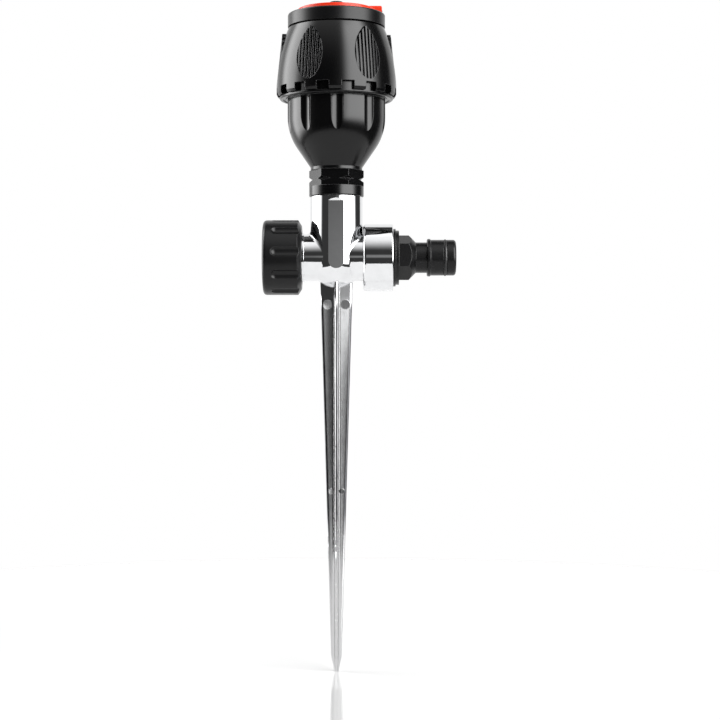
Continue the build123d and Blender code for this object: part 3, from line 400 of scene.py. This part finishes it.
@dataclass(frozen=True)
class PolishedCasting(Finish):
    """Bright chrome over a die casting, polished on the fitting and satin on the spike's hollow fins."""

    # Plating
    colour: Colour = (0.86, 0.865, 0.875)
    shade_colour: Colour = (0.74, 0.745, 0.755)
    polished: float = 0.05
    smear_size: float = 3 * MM
    smear_detail: float = 4.0
    smear_roughness: float = 0.06
    wave_size: float = 9 * MM
    wave_detail: float = 1.0
    wave_height: float = 0.05 * MM
    wave_strength: float = 0.05
    edge_radius: float = 0.12 * MM
    # Fins of the spike
    satin: float = 0.2
    satin_top: float = -1 * MM
    satin_fade: float = 10 * MM
    core_half: float = 1.2 * MM
    fin_reach: float = 7.7 * MM
    fin_foot_reach: float = 2.6 * MM
    fin_length: float = 176 * MM
    hollow_angle: float = 10.0
    hollow_top: float = -10 * MM
    hollow_full: float = -70 * MM
    # Front and back fin: painted shade on their flanks and edge, with a near-black painted shade line along
    # the edge
    front_start: float = 1.8 * MM
    front_full: float = 2.4 * MM
    flank_painted_shade_colour: Colour = (0.6, 0.6, 0.605)
    tip_depth: float = 0.4 * MM
    ridge_painted_shade_colour: Colour = (0.2, 0.2, 0.204)
    ridge_left: float = 45.0
    ridge_right: float = 25.0
    painted_shade_line_colour: Colour = (0.0004, 0.0004, 0.0004)
    painted_shade_line_left: float = -0.2 * MM
    painted_shade_line_right: float = 0.4 * MM
    painted_shade_line_soft: float = 0.05 * MM
    # Painted shade on the fins' outer edges, and a foot that is darker towards the bottom
    painted_edge_shade_colour: Colour = (0.05, 0.05, 0.053)
    painted_edge_shade_width: float = 1.6 * MM
    darker_foot_colour: Colour = (0.58, 0.58, 0.585)
    darker_foot_top: float = -105 * MM
    darker_foot_full: float = -145 * MM

    def locate(self, graph: Graph, place: Signal) -> SpikePlace:
        """Find where a point lies on the spike.

        Args:
            graph: The node tree to work in.
            place: Position of the point on the casting.

        Returns:
            The point's place on the spike.
        """
        across, depth, height = graph.split(place)
        taper = (self.fin_reach - self.fin_foot_reach) / self.fin_length
        out = graph.math("MAXIMUM", abs(across), abs(depth)) - self.core_half
        span = self.fin_reach - self.core_half + height * taper
        return SpikePlace(
            across=across,
            height=height,
            out=out,
            span=span,
            spike=1.0 - height.rise(self.satin_top - self.satin_fade, self.satin_top),
            fin=out.rise(0.0, self.core_half),
            front=abs(depth).rise(self.front_start, self.front_full),
            tip=(out - span).rise(-self.tip_depth, -self.tip_depth / 2.0),
            clean=height.rise(self.darker_foot_full, self.darker_foot_top),
        )

    def relief(self, graph: Graph, at: SpikePlace) -> Signal:
        """Shape the fins' hollow faces and the roof-shaped edge of the front and back fin.

        Args:
            graph: The node tree to work in.
            at: Place on the spike.

        Returns:
            Height over the surface in metres.
        """
        flat = at.height.rise(self.hollow_full, self.hollow_top) * at.across.rise(0.0, self.core_half)
        dish = at.out * at.out / at.span * (slope(self.hollow_angle) / 2.0) * (1.0 - flat)
        roof = graph.math("MAXIMUM", at.across * slope(self.ridge_right), at.across * -slope(self.ridge_left))
        return (dish * at.fin + roof * at.tip * at.front) * at.spike

    def coat(self, graph: Graph, at: SpikePlace, smear: Signal) -> Signal:
        """Colour the plating, with painted shade on the fins and a foot that is darker towards the bottom.

        Args:
            graph: The node tree to work in.
            at: Place on the spike.
            smear: Noise that mottles the plating.

        Returns:
            Colour of the surface.
        """
        # Painted shade: the fins' outer edges are painted dark.
        painted_edge_shade = (at.out - at.span).rise(-self.painted_edge_shade_width, -self.painted_edge_shade_width / 2.0)
        # Painted shade: a near-black line is painted down the front fin's edge, within a dark grey painted
        # edge.
        painted_shade_line = at.across.window(self.painted_shade_line_left, self.painted_shade_line_right, self.painted_shade_line_soft)
        core = 1.0 - at.out.rise(self.front_start - self.core_half, self.front_full - self.core_half)
        plated = graph.mix(smear, opaque(self.shade_colour), opaque(self.colour))
        # The plating is darker towards the bottom of the foot.
        plated = graph.mix(at.clean, opaque(self.darker_foot_colour), plated)
        ridge = graph.mix(painted_shade_line, opaque(self.ridge_painted_shade_colour), opaque(self.painted_shade_line_colour))
        # Painted shade: the front and back fin's flanks and the core are a darker copy of the plating.
        flank = graph.mix(at.tip, opaque(self.flank_painted_shade_colour), ridge)
        fin = graph.mix(painted_edge_shade, plated, opaque(self.painted_edge_shade_colour))
        fin = graph.mix(graph.math("MAXIMUM", at.front, core), fin, flank)
        return graph.mix(at.clean * at.spike, plated, fin)

    def shade(self, graph: Graph) -> Signal:
        """Build the chrome's shader.

        Args:
            graph: The node tree to build it in.

        Returns:
            The shader.
        """
        place = graph.place()
        at = self.locate(graph, place)
        smear = graph.noise(place, self.smear_size, self.smear_detail)
        wave = graph.noise(place, self.wave_size, self.wave_detail)
        rounded = graph.rounded(self.edge_radius)
        waved = graph.bump(wave, self.wave_height, self.wave_strength, rounded)
        satin = (self.satin - self.polished) * at.fin * (1.0 - at.tip) * at.spike
        return graph.surface(
            {
                "Base Color": self.coat(graph, at, smear),
                "Metallic": 1.0,
                "Roughness": self.polished + satin + smear.drift(self.smear_roughness),
                "Normal": graph.bump(self.relief(graph, at), normal=waved),
            }
        )


@dataclass(frozen=True)
class DrawnSteel(Finish):
    """Drawn wire with fine scratches along its length."""

    colour: Colour = (0.62, 0.62, 0.6)
    dull_colour: Colour = (0.48, 0.48, 0.47)
    roughness: float = 0.24
    scratch_size: float = 0.3 * MM
    scratch_stretch: float = 0.03
    scratch_detail: float = 3.0
    scratch_roughness: float = 0.2

    def shade(self, graph: Graph) -> Signal:
        """Build the steel's shader.

        Args:
            graph: The node tree to build it in.

        Returns:
            The shader.
        """
        along = {"Vector": graph.place(), "Scale": (1.0, 1.0, self.scratch_stretch)}
        drawn = graph.signal("ShaderNodeMapping", {}, along)
        scratch = graph.noise(drawn, self.scratch_size, self.scratch_detail)
        return graph.surface(
            {
                "Base Color": graph.mix(scratch, opaque(self.dull_colour), opaque(self.colour)),
                "Metallic": 1.0,
                "Roughness": self.roughness + scratch.drift(self.scratch_roughness),
            }
        )


@dataclass(frozen=True)
class SoftRubber(Finish):
    """Black rubber with a faintly bloomed, slightly pitted skin."""

    colour: Colour = (0.003, 0.003, 0.0033)
    bloom_colour: Colour = (0.008, 0.008, 0.0083)
    roughness: float = 0.42
    bloom_size: float = 2.5 * MM
    bloom_detail: float = 3.0
    bloom_roughness: float = 0.2
    pit_size: float = 0.3 * MM
    pit_height: float = 0.02 * MM
    pit_strength: float = 0.4

    def shade(self, graph: Graph) -> Signal:
        """Build the rubber's shader.

        Args:
            graph: The node tree to build it in.

        Returns:
            The shader.
        """
        place = graph.place()
        bloom = graph.noise(place, self.bloom_size, self.bloom_detail)
        pits = graph.noise(place, self.pit_size)
        return graph.surface(
            {
                "Base Color": graph.mix(bloom, opaque(self.colour), opaque(self.bloom_colour)),
                "Roughness": self.roughness + bloom.drift(self.bloom_roughness),
                "Normal": graph.bump(pits, self.pit_height, self.pit_strength),
            }
        )


@dataclass(frozen=True)
class TableTop(Finish):
    """White table top in which the camera sees the object mirrored."""

    colour: Colour = (0.54, 0.54, 0.54)
    mirror_share: float = 0.4
    mirror_roughness: float = 0.07

    def shade(self, graph: Graph) -> Signal:
        """Build the table's shader.

        Args:
            graph: The node tree to build it in.

        Returns:
            The shader.
        """
        camera = graph.signal("ShaderNodeLightPath", output="Is Camera Ray")
        white = graph.signal("ShaderNodeBsdfDiffuse", {}, {"Color": opaque(self.colour)})
        polish = {"Color": opaque(WHITE), "Roughness": self.mirror_roughness}
        mirror = graph.signal("ShaderNodeBsdfGlossy", {}, polish)
        return graph.blend(camera * self.mirror_share, white, mirror)


BLACK_GLOSS = MouldedPlastic(
    label="black_gloss_plastic",
    colour=(0.0008, 0.0008, 0.0009),
    flow_colour=(0.0014, 0.0014, 0.0015),
    rubbed_and_highlight_colour=(0.06, 0.06, 0.062),
    roughness=0.2,
    roughness_drift=0.05,
    shine=0.32,
)
BLACK_SATIN = MouldedPlastic(
    label="black_satin_plastic",
    colour=(0.002, 0.002, 0.0022),
    flow_colour=(0.0032, 0.0032, 0.0034),
    rubbed_and_highlight_colour=(0.045, 0.045, 0.046),
    roughness=0.3,
    roughness_drift=0.06,
    shine=0.26,
)
ORANGE = MouldedPlastic(
    label="orange_plastic",
    colour=(0.5, 0.024, 0.004),
    flow_colour=(0.46, 0.02, 0.003),
    rubbed_and_highlight_colour=(0.56, 0.05, 0.015),
    roughness=0.32,
    roughness_drift=0.08,
    shine=0.3,
)
ACETAL = MouldedPlastic(
    label="gear_acetal",
    colour=(0.7, 0.69, 0.64),
    flow_colour=(0.62, 0.61, 0.56),
    rubbed_and_highlight_colour=(0.78, 0.77, 0.74),
    roughness=0.38,
    roughness_drift=0.1,
    shine=0.4,
    edge_radius=0.12 * MM,
)

FINISHES: dict[Slot, Finish] = {
    Slot.CHROME: PolishedCasting(label="chrome_casting"),
    Slot.GLOSS: BLACK_GLOSS,
    Slot.SATIN: BLACK_SATIN,
    Slot.ORANGE: ORANGE,
    Slot.RUBBER: SoftRubber(label="soft_rubber"),
    Slot.ACETAL: ACETAL,
    Slot.STEEL: DrawnSteel(label="drawn_steel"),
}


class Wardrobe:
    """The finishes made so far, one material for each slot."""

    def __init__(self) -> None:
        """Start with no material made."""
        self.made: dict[Slot, bpy.types.Material] = {}

    def material(self, slot: Slot) -> bpy.types.Material:
        """Give a slot's material, made at its first use.

        Args:
            slot: The slot of the record.

        Returns:
            The slot's material.
        """
        if slot not in self.made:
            self.made[slot] = FINISHES[slot].material()
        return self.made[slot]

    def dress(self, node: str, slot: Slot) -> None:
        """Give a CAD node a slot's finish.

        Args:
            node: Name of the CAD node.
            slot: The slot whose finish it takes.
        """
        for place in frame["nodes"][node].material_slots:
            place.material = self.material(slot)
        LOG.info("dressed %s in %s", node, slot.value)


def link_mesh(name: str, grown: bmesh.types.BMesh, material: bpy.types.Material) -> bpy.types.Object:
    """Turn a grown mesh into an object of the scene.

    Args:
        name: Name of the object and its mesh.
        grown: The mesh, which is freed.
        material: The object's one material.

    Returns:
        The new object.
    """
    mesh = bpy.data.meshes.new(name)
    grown.to_mesh(mesh)
    grown.free()
    mesh.materials.append(material)
    made = bpy.data.objects.new(name, mesh)
    bpy.context.scene.collection.objects.link(made)
    return made


class SubAssembly:
    """CAD nodes that belong together and the pieces that are made to go with them."""

    nodes: tuple[str, ...] = ()

    def build(self, wardrobe: Wardrobe) -> None:
        """Give every CAD node the finish of its slot in the record, and make the pieces that CAD leaves out.

        Args:
            wardrobe: The finishes to dress the nodes and pieces with.
        """
        slots = {part["node"]: Slot(part["material_slot"]) for part in frame["record"]["subparts"]}
        for node in self.nodes:
            wardrobe.dress(node, slots[node])
        self.add_pieces(wardrobe)

    def add_pieces(self, wardrobe: Wardrobe) -> None:
        """Make the pieces that CAD leaves out; none by default."""


@dataclass
class ScrewThread:
    """A helical ridge about the barrel's axis, turned out of a cylinder or cut inside one."""

    name: str
    body: Body
    slot: Slot
    axis_height: float
    root_radius: float
    crest_radius: float
    start: float
    turns: float
    lead: float
    root_half: float = 0.7 * MM
    crest_half: float = 0.18 * MM
    sunk: float = 0.08 * MM
    fade_turns: float = 0.3
    least_height: float = 0.02
    steps_per_turn: int = 72

    def section(self, height: float) -> list[tuple[float, float]]:
        """Section of the ridge.

        Args:
            height: Share of the ridge's full height.

        Returns:
            Corners as the offset along the axis and the radius.
        """
        depth = self.crest_radius - self.root_radius
        foot = self.root_radius - math.copysign(self.sunk, depth)
        top = foot + height * (self.crest_radius - foot)
        return [
            (-self.root_half, foot),
            (-self.crest_half, top),
            (self.crest_half, top),
            (self.root_half, foot),
        ]

    def ring(self, turned: float) -> list[Point]:
        """Place the ridge's section.

        Args:
            turned: Turns from the thread's start.

        Returns:
            The section's corners.
        """
        height = min(1.0, turned / self.fade_turns, (self.turns - turned) / self.fade_turns)
        angle = 2.0 * math.pi * turned
        middle = self.start - self.lead * turned
        return [
            (middle - along, radius * math.sin(angle), self.axis_height + radius * math.cos(angle))
            for along, radius in self.section(max(height, self.least_height))
        ]

    def sweep(self) -> bmesh.types.BMesh:
        """Sweep the ridge along its helix.

        Returns:
            The closed ridge.
        """
        count = round(self.turns * self.steps_per_turn)
        grown = bmesh.new()
        rings = [self.ring(self.turns * step / count) for step in range(count + 1)]
        rows = [[grown.verts.new(point) for point in ring] for ring in rings]
        sides = len(rows[0])
        for near, far in zip(rows, rows[1:]):
            for side in range(sides):
                after = (side + 1) % sides
                grown.faces.new((near[side], near[after], far[after], far[side]))
        grown.faces.new(rows[0])
        grown.faces.new(rows[-1])
        bmesh.ops.recalc_face_normals(grown, faces=grown.faces)
        return grown

    def build(self, wardrobe: Wardrobe) -> None:
        """Make the ridge and hang it on its body.

        Args:
            wardrobe: The finishes to dress the ridge with.
        """
        ridge = link_mesh(self.name, self.sweep(), wardrobe.material(self.slot))
        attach(ridge, self.body.value)
        LOG.info("made %s", self.name)


class Casting(SubAssembly):
    """Chrome spike base with its washers."""

    nodes = ("spike_body", "inlet_washer", "head_washer")


class HoseNipple(SubAssembly):
    """Black hose nipple with its O-ring."""

    nodes = ("inlet_adapter", "nipple_o_ring")


@dataclass
class EndCap(SubAssembly):
    """Scalloped screw cap of the second outlet with its washer and the threads of both."""

    nodes = ("end_cap", "end_cap_washer")
    lead: float = 1.814 * MM
    turns: float = 5.5
    run_in: float = 10.8 * MM
    depth: float = 0.9 * MM
    crest_play: float = 0.06 * MM
    bore_play: float = 0.08 * MM

    def add_pieces(self, wardrobe: Wardrobe) -> None:
        """Turn the outlet's thread and cut the cap's thread half a pitch beside it.

        Args:
            wardrobe: The finishes to dress the threads with.
        """
        low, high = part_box("end_cap_washer")
        axis_height = (low.z + high.z) / 2.0
        radius = (high.y - low.y) / 2.0
        start = high.x + self.run_in
        outer = ScrewThread(
            name="outlet_thread",
            body=Body.BASE,
            slot=Slot.CHROME,
            axis_height=axis_height,
            root_radius=radius - self.depth,
            crest_radius=radius - self.crest_play,
            start=start,
            turns=self.turns,
            lead=self.lead,
        )
        inner = ScrewThread(
            name="cap_thread",
            body=Body.CAP,
            slot=Slot.SATIN,
            axis_height=axis_height,
            root_radius=radius + self.bore_play,
            crest_radius=radius - self.depth + self.crest_play + self.bore_play,
            start=start + self.lead / 2.0,
            turns=self.turns,
            lead=self.lead,
        )
        for thread in (outer, inner):
            thread.build(wardrobe)


class LowerHead(SubAssembly):
    """Fluted bowl with the strainer and the fixed port plate."""

    nodes = ("lower_housing", "inlet_strainer", "port_plate")


class UpperHead(SubAssembly):
    """Gripped sleeve with everything that turns with it."""

    nodes = (
        "upper_housing",
        "housing_seal",
        "throttle_disc",
        "stator",
        "gear_case",
        "gear_case_cover",
        "idler_axles",
        "thrust_washer",
        "shaft_bush",
        "shaft_seal",
    )


class Drive(SubAssembly):
    """Turbine and gear train."""

    nodes = (
        "turbine_wheel",
        "turbine_shaft",
        "turbine_pinion",
        "first_idler",
        "second_idler",
        "output_gear",
    )


class Turret(SubAssembly):
    """Turning top with the jet and the range valve."""

    nodes = ("output_shaft", "turret_base", "turret_top", "jet_nozzle", "range_plug", "range_knob")


@dataclass(frozen=True)
class Panel:
    """A soft light panel of the studio, by its bearing from the camera side and its height, in degrees."""

    left: float
    right: float
    low: float
    high: float
    strength: float
    soft_side: float = 4.0
    soft_end: float = 4.0

    def light(self, bearing: Signal, height: Signal) -> Signal:
        """Light that the panel gives from a direction.

        Args:
            bearing: Bearing of the direction.
            height: Height of the direction.

        Returns:
            The panel's radiance.
        """
        wide = bearing.window(self.left, self.right, self.soft_side)
        tall = height.window(self.low, self.high, self.soft_end)
        return wide * tall * self.strength


LEFT_WASH = Panel(left=-138.0, right=-67.0, low=-20.0, high=60.0, strength=1.2, soft_end=8.0)
LEFT_LAMP = Panel(left=-122.0, right=-82.0, low=-18.0, high=56.0, strength=7.2, soft_side=10.0, soft_end=8.0)
RIGHT_WASH = Panel(left=15.0, right=90.0, low=-9.0, high=60.0, strength=1.2, soft_side=6.0, soft_end=7.0)
RIGHT_LAMP = Panel(left=21.0, right=78.0, low=-8.0, high=56.0, strength=7.4, soft_side=9.0, soft_end=7.0)
OVERHEAD = Panel(left=-70.0, right=70.0, low=44.0, high=104.0, strength=1.1, soft_end=24.0)
FRONT_CARD = Panel(left=-2.0, right=18.0, low=-3.0, high=6.0, strength=0.2, soft_side=3.0, soft_end=3.0)
CEILING = Panel(left=-190.0, right=190.0, low=75.0, high=100.0, strength=0.2, soft_end=6.0)


@dataclass
class Studio:
    """White table, light panels round the object and the camera."""

    table_radius: float = 0.46
    table_sectors: int = 96
    table_finish: TableTop = TableTop(label="table_white")
    panels: tuple[Panel, ...] = (LEFT_WASH, LEFT_LAMP, RIGHT_WASH, RIGHT_LAMP, OVERHEAD, FRONT_CARD, CEILING)
    ambient: float = 0.04
    mirrored_limit: float = 0.6
    mirrored_from: float = 2.0
    mirrored_full: float = 3.0
    backdrop_edge: float = 128.0
    backdrop_top: float = 54.0
    backdrop_soft: float = 4.0
    camera_place: Point = (0.0113, -0.816, -0.0346)
    camera_tilt: float = 90.0
    lens: float = 85.0
    sensor: float = 36.0
    clip_start: float = 0.01

    def build(self) -> None:
        """Make the table, the world and the camera."""
        self.make_table()
        self.make_world()
        self.make_camera()
        bpy.context.scene.view_settings.view_transform = "Standard"
        LOG.info("made the table, the lights and the camera")

    def make_table(self) -> None:
        """Make a round white table top under the spike's point."""
        grown = bmesh.new()
        bmesh.ops.create_circle(grown, cap_ends=True, segments=self.table_sectors, radius=self.table_radius)
        table = link_mesh("floor", grown, self.table_finish.material())
        table.location = (0.0, 0.0, CAD_BOX[0].z)

    def make_world(self) -> None:
        """Draw the light panels by direction, in front of a white backdrop."""
        world = bpy.data.worlds.new("studio")
        world.use_nodes = True
        bpy.context.scene.world = world
        graph = Graph(world.node_tree)
        across, depth, rise = graph.split(graph.signal("ShaderNodeTexCoord", output="Generated"))
        bearing = graph.math("ARCTAN2", across, -depth) * math.degrees(1.0)
        height = graph.math("ARCSINE", rise) * math.degrees(1.0)
        path = graph.node("ShaderNodeLightPath")
        rays = ("Is Camera Ray", "Is Glossy Ray", "Is Transmission Ray", "Ray Depth")
        camera, glossy, clear, bounces = (Signal(graph, path.outputs[name]) for name in rays)
        again = glossy * bounces.rise(self.mirrored_from, self.mirrored_full)
        level = sum(panel.light(bearing, height) for panel in self.panels) + self.ambient
        level = level - again * graph.math("MAXIMUM", level - self.mirrored_limit, 0.0)
        shown = graph.math("MINIMUM", camera + (glossy + clear) * self.behind(bearing, height), 1.0)
        light = graph.signal("ShaderNodeBackground", {}, {"Color": level})
        backdrop = graph.signal("ShaderNodeBackground", {}, {"Color": opaque(WHITE)})
        graph.node("ShaderNodeOutputWorld", {}, {"Surface": graph.blend(shown, light, backdrop)})

    def behind(self, bearing: Signal, height: Signal) -> Signal:
        """Mask of the backdrop behind the object.

        Args:
            bearing: Bearing of a direction.
            height: Height of a direction.

        Returns:
            1 where the backdrop is, 0 elsewhere.
        """
        edge, top, soft = self.backdrop_edge, self.backdrop_top, self.backdrop_soft
        return abs(bearing).rise(edge - soft, edge + soft) * (1.0 - height.rise(top - soft, top + soft))

    def make_camera(self) -> None:
        """Stand a level camera in front of the object."""
        data = bpy.data.cameras.new("camera")
        data.lens = self.lens
        data.sensor_width = self.sensor
        data.clip_start = self.clip_start
        camera = bpy.data.objects.new("camera", data)
        camera.location = self.camera_place
        camera.rotation_euler = (math.radians(self.camera_tilt), 0.0, 0.0)
        bpy.context.scene.collection.objects.link(camera)
        bpy.context.scene.camera = camera


def main() -> None:
    """Dress every sub-assembly and set up the studio."""
    logging.basicConfig(level=logging.INFO, format="%(message)s")
    wardrobe = Wardrobe()
    for assembly in (Casting(), HoseNipple(), EndCap(), LowerHead(), UpperHead(), Drive(), Turret()):
        assembly.build(wardrobe)
    Studio().build()


if __name__ == "__main__":
    main()
